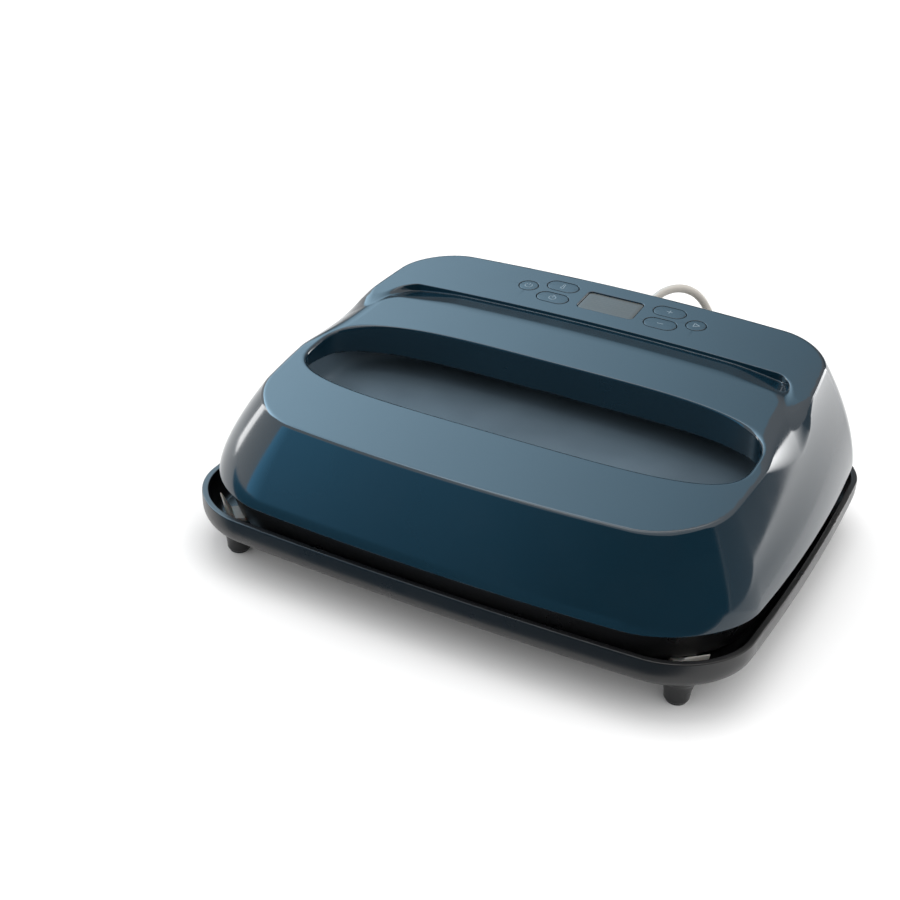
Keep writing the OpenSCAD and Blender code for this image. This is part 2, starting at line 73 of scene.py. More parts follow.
BODY_W, BODY_D = high("housing_shell")[:2]  # half sizes of the housing at its lower edge
PARTING = low("housing_shell")[2]
TOP_W, TOP_FRONT, TOP_REAR = 142.7, 117.7, 113.8  # edge of the top face
TOP_Z, SLOPE = 102.5, math.radians(6.8)  # the top face over the centre, and its slope
TOP_R, BODY_R = (36.7, 30.8), (51.0, 37.0)  # front and rear corner radii, at the top and the lower edge
BOW = 8.0  # how far each side swells between its corners
WALL = 3.0
FLANK_POWER = 1.5  # how late the side wall turns inwards on its way up
POST_R = 4.6  # screw posts inside the housing

GRIP_W, GRIP_FRONT, GRIP_REAR = 134.0, -67.0, 12.0  # finger opening
FRONT_SQUARE, REAR_SQUARE = 3.8, 2.5  # how square the opening's front and rear corners are
COLLAR_Z, COLLAR_SLOPE = 85.0, math.radians(-5.0)  # lower end of the opening's wall
WELL_REAR, WELL_Z, WELL_T, WELL_SQUARE = 43.0, 72.0, 2.5, 0.4  # the bowl under the handle
WELL_MID, FLOOR_SHARE, SIDE_LEAN = 6.0, 0.4, 0.14  # the bowl narrows towards its floor
SCOOP_X, SCOOP_RUN = 129.2, 3.6  # where the handle's ends fall away, and how fast
CREASE_FLARE, CREASE_Y, CREASE_ROUND = 0.21, 4.0, 22.0  # how the ends spread towards the front
GROOVE_DEPTH, GROOVE_RUN = 2.2, 17.0  # step from the panel down to the groove in front of it
HANDLE_REAR, PANEL_FRONT, TONGUE = 47.9, 65.0, 20.0  # both edges at x 0, and the panel's reach at its sides
EDGE_BEND = 92.0  # half width over which these edges bend by about 3

TRAY_W, TRAY_D = high("tray")[:2]
RIM_Z = high("tray")[2]
LEG_H = 17.0
TRAY_T = 2.5
TRAY_FLOOR = LEG_H + TRAY_T
TRAY_R, TRAY_BOW = 42.0, 5.2
TUCK, TUCK_POWER = 9.0, 4.5  # how far the tray's wall curls in below, and how late
LEG_X, LEG_Y = 134.0, 114.0
LEG_R, LEG_FLARE = 6.6, 3.4

ROUND_D, PILL_W, PILL_H, KEY_GAP = 12.6, 21.0, 12.4, 0.3
LCD_W, LCD_H, LCD_R = 36.6, 22.0, 3.0
PANEL_V = 90.5  # the controls' middle, along the sloping face
PILL_V = (98.6, 82.8)
ROUND_U, PILL_U = 55.5, 35.5

CORD_D, COIL_D = 5.5, 66.0
COIL_AT = np.array([12.0, 196.0])
TIE_AT, TIE_T = 215.0, 1.0  # where the tie holds the coil, in degrees, and its thickness
RELIEF_AT, RELIEF_LEN = np.array([0.0, 135.8, 64.0]), 28.0
RELIEF_HOLE_R, RELIEF_HOLE_DEPTH = 5.7, 15.0
RELIEF_WAY = np.array([0, math.sqrt(0.5), math.sqrt(0.5)])  # the lead leaves at 45 degrees

TAN, COS, SIN = math.tan(SLOPE), math.cos(SLOPE), math.sin(SLOPE)


def top_at(y):
    """Height of the top face."""
    return TOP_Z + TAN * y


def on_face(u, v, lift=0.0):
    """A point of the sloping top face: u sideways, v up the slope, lift off the face."""
    u, v, lift = np.broadcast_arrays(np.asarray(u, float), v, lift)
    return np.stack([u, v * COS - lift * SIN, TOP_Z + v * SIN + lift * COS], -1)


def placed(name, data):
    """A scene object that holds this data."""
    obj = bpy.data.objects.new(name, data)
    bpy.context.scene.collection.objects.link(obj)
    return obj


# ---- camera

AIM = Vector((-0.05919, 0.0, 0.03539))
AZIMUTH, ELEVATION, ROLL = math.radians(26.73), math.radians(28.14), math.radians(3.11)
DISTANCE, LENS, SENSOR = 0.927, 61.3, 36


def make_camera():
    """The photo's camera, turned about its own axis by ROLL."""
    flat = math.cos(ELEVATION)
    back = Vector((math.sin(AZIMUTH) * flat, -math.cos(AZIMUTH) * flat, math.sin(ELEVATION)))
    right = Vector((math.cos(AZIMUTH), math.sin(AZIMUTH), 0))
    up = back.cross(right)
    c, s = math.cos(ROLL), math.sin(ROLL)
    turn = Matrix((c * right + s * up, -s * right + c * up, back)).transposed()
    data = bpy.data.cameras.new("camera")
    data.lens = LENS
    data.sensor_width = SENSOR
    camera = placed("camera", data)
    camera.matrix_world = Matrix.Translation(AIM + back * DISTANCE) @ turn.to_4x4()
    bpy.context.scene.camera = camera


# ---- mesh helpers

def piece(name, points, faces, body, material, replaces=(), slot=None, normals=None):
    """A mesh object from points in millimetres, riding on a CAD body."""
    mesh = bpy.data.meshes.new(name)
    mesh.from_pydata((np.asarray(points) * MM).tolist(), [], faces)
    if normals is None:
        bm = bmesh.new()
        bm.from_mesh(mesh)
        bmesh.ops.recalc_face_normals(bm, faces=bm.faces)
        bm.to_mesh(mesh)
        bm.free()
    mesh.validate()
    mesh.update()
    mesh.shade_smooth()
    if normals is not None:
        mesh.normals_split_custom_set_from_vertices(np.asarray(normals).tolist())
    obj = placed(name, mesh)
    obj.data.materials.append(material)
    if body:
        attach(obj, body)
    if replaces:
        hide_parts(*replaces)
    return obj


def loft(rings, start="fan", end="fan", close=False):
    """Points and faces through rings of equal length, bottom ring first, seen from outside anticlockwise."""
    rings = [np.asarray(r, float) for r in rings]
    m, n = len(rings), len(rings[0])
    points, faces = list(np.concatenate(rings)), []
    for k in range(m if close else m - 1):
        a, b = k * n, (k + 1) % m * n
        faces += [(a + i, a + (i + 1) % n, b + (i + 1) % n, b + i) for i in range(n)]
    if start == "fan":
        points.append(rings[0].mean(0))
        faces += [((i + 1) % n, i, len(points) - 1) for i in range(n)]
    if end == "fan":
        points.append(rings[-1].mean(0))
        faces += [((m - 1) * n + i, (m - 1) * n + (i + 1) % n, len(points) - 1) for i in range(n)]
    return points, faces


def joined(*parts):
    """One list of points and faces from several."""
    points, faces = [], []
    for p, f in parts:
        faces += [tuple(len(points) + i for i in face) for face in f]
        points += list(p)
    return points, faces


def crisp(obj, angle=35):
    """Smooth shading that stays sharp where faces meet at more than the angle."""
    obj.data.set_sharp_from_angle(angle=math.radians(angle))
    return obj


def corner_directions(n=10):
    """Outward directions of a rounded rectangle's points, n for each corner."""
    t = np.radians(np.concatenate([90 * q + np.linspace(0, 90, n) for q in range(4)]))
    return np.stack([np.cos(t), np.sin(t)], 1)


def rounded_ring(w, h, r, grow=0.0, n=10):
    """A rounded rectangle as u, v points, drawn out by grow."""
    r = max(r + grow, 0.05)
    half = np.array([w / 2 + grow - r, h / 2 + grow - r])
    signs = np.repeat([(1, 1), (-1, 1), (-1, -1), (1, -1)], n, axis=0)
    return signs * half + r * corner_directions(n)


def turned(profile, n=48, centre=(0, 0, 0)):
    """Rings of a profile of (radius, height) points turned about the vertical."""
    a = np.linspace(0, 2 * np.pi, n, endpoint=False)
    return [np.stack([r * np.cos(a), r * np.sin(a), np.full(n, z)], 1) + centre for r, z in profile]


def fillet(r0, z0, r1, z1, turn, steps=5):
    """Quarter round from (r0, z0) to (r1, z1). Turn 1 leaves along r first, and 0 along z first."""
    t = np.linspace(0, np.pi / 2, steps + 1)
    u, v = (np.sin(t), 1 - np.cos(t)) if turn else (1 - np.cos(t), np.sin(t))
    return [(r0 + (r1 - r0) * a, z0 + (z1 - z0) * b) for a, b in zip(u, v)]


def step(x, a, b):
    """Smooth rise from 0 at a to 1 at b."""
    t = np.clip((x - a) / (b - a), 0, 1)
    return t * t * (3 - 2 * t)


# ---- moulded solids as distance fields

def round_max(a, b, r):
    """Where both are negative, with a round edge of radius r."""
    return np.minimum(-r, np.maximum(a, b)) + np.hypot(np.maximum(r + a, 0), np.maximum(r + b, 0))


def round_min(a, b, r):
    """Where either is negative, with a round hollow of radius r."""
    return -round_max(-a, -b, r)


def outline_distance(x, y, w, front, rear, rf, rb, bow):
    """Distance outside a rounded rectangle with bowed sides."""
    a, b, mid = w - bow, (front + rear) / 2 - bow, (rear - front) / 2
    y = y - mid
    u, v = x * a / w, y * b / (b + bow)
    for _ in range(3):
        u, v = (x - np.sign(x) * bow * np.clip(1 - (v / b) ** 2, 0, 1) * np.minimum((u / a) ** 2, 1.2),
                y - np.sign(y) * bow * np.clip(1 - (u / a) ** 2, 0, 1) * np.minimum((v / b) ** 2, 1.2))
    r = np.where(y > 0, rb, rf)
    p, q = np.abs(u) - a + r, np.abs(v) - b + r
    return np.hypot(np.maximum(p, 0), np.maximum(q, 0)) + np.minimum(np.maximum(p, q), 0) - r


def spaced(*stretches):
    """Grid lines over stretches of (from, to, spacing) that follow each other."""
    lines = [stretches[0][0]]
    for a, b, gap in stretches:
        n = max(1, round((b - a) / gap))
        lines += list(a + (b - a) * np.arange(1, n + 1) / n)
    return np.array(lines)


def slopes(p, field, d=0.02):
    """The field's gradient at each point."""
    g = np.empty_like(p)
    for k in range(3):
        e = np.zeros(3)
        e[k] = d
        g[:, k] = (field(*(p + e).T) - field(*(p - e).T)) / (2 * d)
    return g


def skinned(xs, ys, ts, place, field):
    """The surface where field is zero, on a lattice that place sets in space.

    Returns its points, its four-sided faces and its normals.
    """
    grid = np.stack(place(*np.meshgrid(xs, ys, ts, indexing="ij")), -1)
    f = field(grid[..., 0], grid[..., 1], grid[..., 2])
    inside = f < 0
    corners = [np.array((i, j, k)) for i in (0, 1) for j in (0, 1) for k in (0, 1)]
    count = sum(inside[c[0]:inside.shape[0] - 1 + c[0], c[1]:inside.shape[1] - 1 + c[1],
                       c[2]:inside.shape[2] - 1 + c[2]].astype(np.int8) for c in corners)
    cells = np.argwhere((count > 0) & (count < 8))
    index = np.full(count.shape, -1)
    index[tuple(cells.T)] = np.arange(len(cells))
    total, hits = np.zeros((len(cells), 3)), np.zeros(len(cells))
    for a in corners:
        for axis in range(3):
            if a[axis]:
                continue
            b = a + np.eye(3, dtype=int)[axis]
            ia, ib = tuple((cells + a).T), tuple((cells + b).T)
            cut = inside[ia] != inside[ib]
            t = f[ia] / np.where(cut, f[ia] - f[ib], 1)
            total[cut] += (grid[ia] + (grid[ib] - grid[ia]) * t[:, None])[cut]
            hits[cut] += 1
    points = total / hits[:, None]
    faces = []
    for axis in range(3):
        e, eb, ec = (np.eye(3, dtype=int)[(axis + k) % 3] for k in range(3))
        lo = tuple(slice(0, -1) if e[k] else slice(1, -1) for k in range(3))
        hi = tuple(slice(1, None) if e[k] else slice(1, -1) for k in range(3))
        at = np.argwhere(inside[lo] != inside[hi]) + (1 - e)
        quad = np.stack([index[tuple((at - s).T)] for s in (eb + ec, ec, 0 * ec, eb)], 1)
        out = inside[tuple(at.T)]
        faces.append(np.where(out[:, None], quad, quad[:, ::-1]))
    faces = np.concatenate(faces)
    for _ in range(4):
        g = slopes(points, field)
        move = -field(*points.T)[:, None] * g / np.maximum((g * g).sum(1), 0.05)[:, None]
        points += move * np.minimum(1, 0.4 / np.maximum(np.linalg.norm(move, axis=1), 1e-9))[:, None]
    g = slopes(points, field)
    return points, faces, g / np.maximum(np.linalg.norm(g, axis=1), 1e-9)[:, None]


# ---- the blue housing

def body_side(x, y, z):
    """Distance outside the swelling side wall."""
    t = np.clip((z - PARTING) / (top_at(y) - PARTING), 0, 1.1)
    g = 1 - t ** FLANK_POWER

    def mix(top, base):
        return top + (base - top) * g
    lean = (BODY_W - TOP_W) * FLANK_POWER * np.sqrt(t) / (TOP_Z - PARTING)
    return outline_distance(x, y, mix(TOP_W, BODY_W), mix(TOP_FRONT, BODY_D), mix(TOP_REAR, BODY_D),
                            mix(TOP_R[0], BODY_R[0]), mix(TOP_R[1], BODY_R[1]), BOW) / np.hypot(1, lean)


def opening_distance(x, y):
    """Distance outside the finger opening: flat at the front, rounder at the rear."""
    mid, half = (GRIP_FRONT + GRIP_REAR) / 2, (GRIP_REAR - GRIP_FRONT) / 2
    u, v, q = np.abs(x) / GRIP_W, np.abs(y - mid) / half, np.where(y > mid, REAR_SQUARE, FRONT_SQUARE)
    f = u ** 4 + v ** q - 1
    return np.clip(f / np.maximum(np.hypot(4 * u ** 3 / GRIP_W, q * v ** (q - 1) / half), 0.02), -30, 60)


def handle_rear(x):
    """Rear edge of the handle's top."""
    return HANDLE_REAR - 3.3 * (x / EDGE_BEND) ** 2 - 4.5 * np.minimum(x / 130, 1.1) ** 10


def panel_front(x):
    """Front edge of the control panel, which curls forward into a tongue at each side."""
    return PANEL_FRONT - 3 * (x / EDGE_BEND) ** 2 - TONGUE * step(x, 116, 140)


def housing_skin(x, y, z):
    """The housing's outside, as if it had no finger opening."""
    x = np.abs(x)
    h = (z - top_at(y)) * COS
    deep, end = -h, step(x, 118, 133)  # depth below the top face, and 1 beyond the handle's ends
    crease = SCOOP_X - 1 + CREASE_FLARE * (np.hypot(CREASE_Y + y, CREASE_ROUND) - CREASE_Y - y)
    scoop = (x - crease - SCOOP_RUN * deep) / math.hypot(1, SCOOP_RUN)
    floor = h + (GROOVE_DEPTH / GROOVE_RUN + 0.15 * step(x, 85, 130)) * (y - handle_rear(x))
    lip = (panel_front(x) - y - 1.1 * step(x, 126, 137) * deep) / (1 + 1.2 * step(x, 112, 132))
    upper = round_min(round_max(floor, scoop, 3.0), lip, 0.8 + 9 * end)
    top = round_max(h, upper, 0.5 + 0.7 * end)
    rim = 1.3 + 0.5 * np.maximum(TOP_W - crease, 0) * (1 - step(y, 24, 46))
    f = round_max(top, body_side(x, y, z), rim)
    return round_max(f, PARTING - z, 0.8)


CASE_FIX = [(x, y) for x in (-147, 147) for y in (-58, 58)]  # the screw posts
CASE_FIX += [(x, y) for x in (-72, 72) for y in (-121.5, 121.5)]


def relief_hole(x, y, z):
    """Distance outside the slanting hole that holds the strain relief."""
    along = (y - RELIEF_AT[1]) * RELIEF_WAY[1] + (z - RELIEF_AT[2]) * RELIEF_WAY[2]
    reach = x ** 2 + (y - RELIEF_AT[1]) ** 2 + (z - RELIEF_AT[2]) ** 2
    hole = np.sqrt(np.maximum(reach - along ** 2, 0)) - RELIEF_HOLE_R
    return np.where(along < -RELIEF_HOLE_DEPTH, 9.0, hole)


def housing_field(x, y, z):
    """The hollow housing with its finger opening, screw posts and relief hole."""
    skin = housing_skin(x, y, z)
    opening = opening_distance(x, y)
    rim = 1.0 + 1.4 * np.maximum(step(-y, -4, 30), step(np.abs(x), 100, 126))
    outside = round_max(skin, -opening, rim)
    outside = round_max(outside, -relief_hole(x, y, z), 0.5)
    collar = COLLAR_Z + math.tan(COLLAR_SLOPE) * y
    post = np.min([np.hypot(x - px, y - py) for px, py in CASE_FIX], 0)
    inset = housing_skin(x, y, np.maximum(z, PARTING + 4)) + WALL
    beside_opening = np.minimum(WALL - opening, z - collar)
    cavity = np.max([inset, beside_opening, POST_R - post, h_ceiling(y, z)], 0)
    return round_max(outside, -cavity, 0.6)


def h_ceiling(y, z):
    """Above the flat ceiling inside the top face."""
    return (z - top_at(y)) * COS + WALL


PANEL = (-70.0, 70.0, 73.0, 109.5)  # flat part of the top face that holds the controls


def key_shapes():
    """Name, centre u and v, width, height and corner radius of every hole in the panel."""
    out = [(name, side * ROUND_U, PANEL_V, ROUND_D, ROUND_D, ROUND_D / 2)
           for name, side in (("power", -1), ("start", 1))]
    for name, side, row in (("temperature", -1, 0), ("timer", -1, 1), ("plus", 1, 0), ("minus", 1, 1)):
        out.append((name, side * PILL_U, PILL_V[row], PILL_W, PILL_H, PILL_H / 2))
    return out + [("display", 0.0, PANEL_V, LCD_W, LCD_H, LCD_R)]


def inside_shape(p, shape, grow):
    """Whether a point on the face lies inside a hole drawn out by grow."""
    _, u, v, w, h, r = shape
    q = np.abs(p - (u, v)) - (w / 2 - r, h / 2 - r)
    return math.hypot(max(q[0], 0), max(q[1], 0)) + min(max(q), 0) < r + grow


def filled(points, faces, lift, edge, flip):
    """Takes the flat lattice out of the panel's rectangle at this lift and fills it anew round the holes.

    Returns which faces went, the new faces, the added points and each hole's edge point numbers.
    """
    v = points[:, 1] * COS + (points[:, 2] - TOP_Z) * SIN
    h = (points[:, 2] - top_at(points[:, 1])) * COS
    x0, x1, y0, y1 = PANEL
    flat = (np.abs(h - lift) < 0.02) & (points[:, 0] > x0) & (points[:, 0] < x1) & (v > y0) & (v < y1)
    gone = flat[faces].all(1)
    used = {}
    for quad in faces[gone]:
        for a, b in zip(quad, np.roll(quad, -1)):
            used[(min(a, b), max(a, b))] = used.get((min(a, b), max(a, b)), 0) + 1
    border = [e for e, n in used.items() if n == 1]
    ids = sorted({i for e in border for i in e})
    local = {i: k for k, i in enumerate(ids)}
    coords = [Vector((points[i, 0], v[i])) for i in ids]
    edges = [(local[a], local[b]) for a, b in border]
    added, holes, number = [], [], list(ids)
    for shape in key_shapes():
        _, cu, cv, w, hh, r = shape
        ring = rounded_ring(w, hh, r, edge(shape)) + (cu, cv)
        first = len(coords)
        coords += [Vector(p) for p in ring]
        edges += [(first + k, first + (k + 1) % len(ring)) for k in range(len(ring))]
        holes.append([len(points) + len(added) + k for k in range(len(ring))])
        number += holes[-1]
        added += list(on_face(ring[:, 0], ring[:, 1], lift))
    out, _, tris, orig, _, _ = delaunay_2d_cdt(coords, edges, [], 1, 1e-6)
    near = [orig[k][0] if orig[k] else None for k in range(len(out))]
    new = []
    for t in tris:
        middle = np.mean([out[k] for k in t], 0)
        if any(inside_shape(middle, s, edge(s) - 0.01) for s in key_shapes()):
            continue
        tri = [number[near[k]] for k in t]
        new.append(tri[::-1] if flip else tri)
    return gone, new, added, holes


def make_housing(material):
    """The blue shell: one skin, with its panel filled anew so that the key holes have clean edges."""
    xs = spaced((-166, -112, 1.0), (-112, 112, 2.0), (112, 166, 1.0))
    ys = spaced((-141, -72, 1.7), (-72, -50, 1.1), (-50, 0, 1.6), (0, 20, 0.8),
                (20, 36, 1.1), (36, 69, 0.6), (69, 110, 1.6), (110, 141, 1.3))
    edge = 0.9 / (TOP_Z - PARTING)
    ts = spaced((-0.02, 0.04, 0.5 * edge), (0.04, 0.8, 2 * edge),
                (0.8, 0.93, 1.1 * edge), (0.93, 1.012, 0.5 * edge))

    def place(x, y, t):
        return x, y, PARTING + (top_at(y) - PARTING) * t
    points, faces, normals = skinned(xs, ys, ts, place, housing_field)
    up = np.array([0, -SIN, COS])

    def soft(shape):
        return 0.7 if shape[0] == "display" else 0.4
    gone, top_faces, top_points, top_holes = filled(points, faces, 0.0, soft, False)
    points = np.concatenate([points, top_points])
    normals = np.concatenate([normals, np.tile(up, (len(top_points), 1))])
    gone2, low_faces, low_points, low_holes = filled(points, faces, -WALL, lambda s: 0.0, True)
    points = np.concatenate([points, low_points])
    normals = np.concatenate([normals, np.tile(-up, (len(low_points), 1))])
    out = [tuple(q) for q in faces[~(gone | gone2)]] + [tuple(t) for t in top_faces + low_faces]
    extra, extra_normals = [], []
    for shape, top, bottom in zip(key_shapes(), top_holes, low_holes):
        _, cu, cv, w, h, r = shape
        rings = [top]
        for a in np.radians([22.5, 45, 67.5, 90]):
            s = soft(shape)
            ring = rounded_ring(w, h, r, s * (1 - math.sin(a))) + (cu, cv)
            rings.append([len(points) + len(extra) + k for k in range(len(ring))])
            extra += list(on_face(ring[:, 0], ring[:, 1], -s * (1 - math.cos(a))))
            inward = -corner_directions() * math.sin(a)
            extra_normals += list(on_face(inward[:, 0], inward[:, 1], math.cos(a)) - [0, 0, TOP_Z])
        rings.append(bottom)
        for a, b in zip(rings, rings[1:]):
            n = len(a)
            out += [(a[k], a[(k + 1) % n], b[(k + 1) % n], b[k]) for k in range(n)]
    points = np.concatenate([points, extra])
    normals = np.concatenate([normals, extra_normals])
    return piece("housing", points, out, "press", material, ["housing_shell"], "blue_shell", normals)


# ---- hollow, skirt and tray

def well_ring(t, d, n=192):
    """A ring of the bowl under the handle, from its rim at t 0 to its floor at t 1, drawn out by d."""
    a = np.linspace(0, 2 * np.pi, n, endpoint=False)
    c, s = np.cos(a), np.sin(a)
    mid, half = (GRIP_FRONT + GRIP_REAR) / 2, (GRIP_REAR - GRIP_FRONT) / 2 + d
    x = np.sign(c) * (GRIP_W + d) * np.abs(c) ** 0.5
    y = mid + np.sign(s) * half * np.abs(s) ** np.where(s > 0, 2 / REAR_SQUARE, 2 / FRONT_SQUARE)
    y = y + (WELL_REAR - GRIP_REAR) * np.maximum(s, 0) ** 0.5
    lean = 1 - max(math.cos(math.pi / 2 * t), 0) ** WELL_SQUARE
    rim = COLLAR_Z + math.tan(COLLAR_SLOPE) * y
    floor_y = WELL_MID + (y - WELL_MID) * (FLOOR_SHARE + 0.4 * step(s, 0, 0.6))
    return np.stack([x * (1 - SIDE_LEAN * lean), y + (floor_y - y) * lean,
                     rim + (WELL_Z - rim) * math.sin(math.pi / 2 * t) ** WELL_SQUARE], 1)


def make_well(material):
    near_rim, near_floor = [0, 0.004, 0.015, 0.04, 0.08, 0.14], [0.975, 0.988, 0.996, 1]
    ts = np.concatenate([near_rim, np.linspace(0.2, 0.96, 16), near_floor])
    inside = [well_ring(t, 0) for t in ts]
    outside = [well_ring(t, WELL_T) - [0, 0, WELL_T * t] for t in ts]
    points, faces = loft(outside[::-1] + inside)
    return crisp(piece("handle_bowl", points, faces, "press", material,
                       ["handle_well"], "dark_grey_plastic"), 50)


def bowed_ring(w, d, r, bow, z, n=14, per_side=18):
    """A rounded rectangle with bowed sides at one height."""
    a, b = w - bow, d - bow
    out = []
    for q, (sx, sy) in enumerate([(1, 1), (-1, 1), (-1, -1), (1, -1)]):
        turn = np.radians(90 * q + np.linspace(0, 90, n))
        arc = [np.array([sx * (a - r) + r * math.cos(t), sy * (b - r) + r * math.sin(t)]) for t in turn]
        out.append(arc)
    points = []
    for q in range(4):
        points += out[q]
        p, r_ = out[q][-1], out[(q + 1) % 4][0]
        points += [p + (r_ - p) * k / per_side for k in range(1, per_side)]
    u, v = np.array(points).T
    return np.stack([u + np.sign(u) * bow * (1 - (v / b) ** 2) * (u / a) ** 2,
                     v + np.sign(v) * bow * (1 - (u / a) ** 2) * (v / b) ** 2, np.full(len(u), z)], 1)


def make_skirt(material):
    """The black lower housing: a sloping skirt round a web."""
    z0, z1 = low("lower_housing")[2], high("lower_housing")[2]
    w, d = high("lower_housing")[:2]
    web, thick, lean = 40.0, 2.5, 5.0

    def ring(z, inset):
        k = lean * (z1 - z) / (z1 - z0) + inset
        return bowed_ring(w - k, d - k, 50.5 - 0.3 * k, BOW, z)
    rings = [ring(web, 60), ring(web, thick + 0.6), ring(web - 0.6, thick), ring(z0 + 0.6, thick)]
    rings += [ring(z0, thick - 0.6), ring(z0, 0.8), ring(z0 + 0.25, 0.25), ring(z0 + 0.8, 0)]
    rings += [ring(z, 0) for z in np.linspace(z0 + 3, z1 - 0.6, 6)] + [ring(z1, 0.5), ring(z1, thick)]
    rings += [ring(web + thick, thick), ring(web + thick, 60)]
    points, faces = loft(rings)
    return crisp(piece("skirt", points, faces, "press", material, ["lower_housing"], "black_plastic"))


def tray_field(x, y, z):
    """The tray as a hollow tub on four legs."""
    x, y = np.abs(x), np.abs(y)

    def wall(inset):
        d = TRAY_D - inset
        r = TRAY_R - inset
        return outline_distance(x, y, TRAY_W - inset, d, d, r, r, TRAY_BOW)
    rise = np.clip((z - LEG_H) / (RIM_Z - LEG_H), 0, 1)
    outer = round_max(wall(TUCK * (1 - rise) ** TUCK_POWER), LEG_H - z, 1.5)
    leg = np.hypot(x - LEG_X, y - LEG_Y) - LEG_R - LEG_FLARE * np.clip(z / LEG_H, 0, 1) ** 2
    leg = np.maximum(round_max(leg, 1.5 - z, 1.2), z - LEG_H - 1.5)
    both = round_min(outer, leg, 5.0)
    hollow = round_max(wall(3.6 + 6.4 * np.clip((31.5 - z) / 12, 0, 1) ** 2), TRAY_FLOOR - z, 2.0)
    return round_max(round_max(both, z - RIM_Z, 0.55), -hollow, 0.55)


def make_tray(material):
    xs = spaced((-169, -112, 0.9), (-112, 112, 4), (112, 169, 0.9))
    ys = spaced((-143.6, -88, 0.9), (-88, 88, 4), (88, 143.6, 0.9))
    zs = spaced((0.9, 16.4, 1.2), (16.4, 20.5, 0.6), (20.5, 33.6, 1.3), (33.6, 36.2, 0.35))
    points, faces, normals = skinned(xs, ys, zs, lambda x, y, z: (x, y, z), tray_field)
    return piece("tray_shell", points, [tuple(q) for q in faces], "base", material,
                 ["tray"], "black_plastic", normals)


def softened(node, name, body, material, width):
    """A copy of a CAD node with its edges rounded, which stands for it."""
    obj = placed(name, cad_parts[node].data.copy())
    bpy.context.view_layer.objects.active = obj
    weld = obj.modifiers.new("weld", "WELD")
    weld.merge_threshold = 1e-6
    flat = obj.modifiers.new("flat", "DECIMATE")
    flat.decimate_type = "DISSOLVE"
    flat.angle_limit = math.radians(1)
    bevel = obj.modifiers.new("bevel", "BEVEL")
    bevel.width = width * MM
    bevel.segments = 3
    bevel.limit_method = "ANGLE"
    bevel.angle_limit = math.radians(30)
    bevel.harden_normals = True
    with bpy.context.temp_override(object=obj, active_object=obj):
        for m in list(obj.modifiers):
            bpy.ops.object.modifier_apply(modifier=m.name)
    obj.data.shade_smooth()
    obj.data.set_sharp_from_angle(angle=math.radians(40))
    obj.data.materials.clear()
    obj.data.materials.append(material)
    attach(obj, body)
    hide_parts(node)
    return obj


# ---- controls

def face_rings(shape, levels, n=10):
    """Rings of a rounded rectangle on the top face. Levels are (lift, grow)."""
    _, cu, cv, w, h, r = shape
    out = []
    for lift, grow in levels:
        ring = rounded_ring(w, h, r, grow, n) + (cu, cv)
        out.append(on_face(ring[:, 0], ring[:, 1], lift))
    return out


def make_button(shape, material):
    """A moulded key: stem, hidden flange, and a softly crowned cap flush with the panel."""
    soft = 0.45
    name, u, v = shape[:3]
    stem = (u, v) + 2.4 * corner_directions()
    rings = [on_face(stem[:, 0], stem[:, 1], lift) for lift in (-7.6, -5.0)]
    rings += face_rings(shape, [(-5.0, 0.9), (-3.1, 0.9), (-3.1, -KEY_GAP), (-soft, -KEY_GAP)])
    edge = [(-soft + soft * math.sin(a), -KEY_GAP - soft * (1 - math.cos(a)))
            for a in np.radians([22.5, 45, 67.5, 90])]
    crown = [(0.02, -1.4), (0.06, -2.4), (0.1, -3.8)]
    rings += face_rings(shape, edge + crown)
    points, faces = loft(rings)
    return crisp(piece("key_" + name, points, faces, "key_" + name, material,
                       ["button_" + name], "button_blue"), 40)


def arc(cu, cv, r, a0, a1, n=24):
    """Points along a circle's arc, between two angles in degrees."""
    t = np.radians(np.linspace(a0, a1, n))
    return np.stack([cu + r * np.cos(t), cv + r * np.sin(t)], 1)


def ribbon(line, width, lift, drop):
    """A flat raised stroke along u, v points, with round-shouldered sides."""
    line = np.asarray(line, float)
    way = np.gradient(line, axis=0)
    way /= np.maximum(np.linalg.norm(way, axis=1), 1e-9)[:, None]
    side = np.stack([-way[:, 1], way[:, 0]], 1) * width / 2
    rings = []
    for k in range(len(line)):
        p = [line[k] + s * side[k] for s in (-1, -1, -0.7, 0.7, 1, 1)]
        z = (drop, lift - 0.04, lift, lift, lift - 0.04, drop)
        rings.append(np.array([on_face(q[0], q[1], h) for q, h in zip(p, z)]))
    return loft(rings)


def icon_lines(name, u, v):
    """Generic symbols, as strokes on the key's top."""
    if name == "power":
        return [arc(u, v - 0.2, 2.3, 125, 415), [(u, v + 0.4), (u, v + 2.9)]]
    if name == "start":
        return [[(u - 1.4, v - 2.1), (u - 1.4, v + 2.1)],
                [(u - 1.4, v + 2.0), (u + 2.2, v)],
                [(u + 2.2, v), (u - 1.4, v - 2.0)]]
    if name == "plus":
        return [[(u - 1.9, v), (u + 1.9, v)], [(u, v - 1.9), (u, v + 1.9)]]
    if name == "minus":
        return [[(u - 1.9, v), (u + 1.9, v)]]
    if name == "timer":
        return [arc(u, v - 0.3, 2.2, 0, 360, 32),
                [(u, v - 0.3), (u, v + 1.1)],
                [(u - 0.8, v + 2.6), (u + 0.8, v + 2.6)]]
    bulb, top = arc(u, v - 1.6, 1.1, 120, 420, 20), arc(u, v + 2.0, 0.55, 0, 180, 8)
    return [np.vstack([bulb, [(u + 0.55, v + 2.0)], top, [(u - 0.55, v - 0.6)]])]


def make_icon(shape, material):
    name, u, v = shape[:3]
    points, faces = joined(*[ribbon(line, 0.5, 0.2, -0.1) for line in icon_lines(name, u, v)])
    return crisp(piece("symbol_" + name, points, faces, "key_" + name, material, (), "button_blue"), 40)


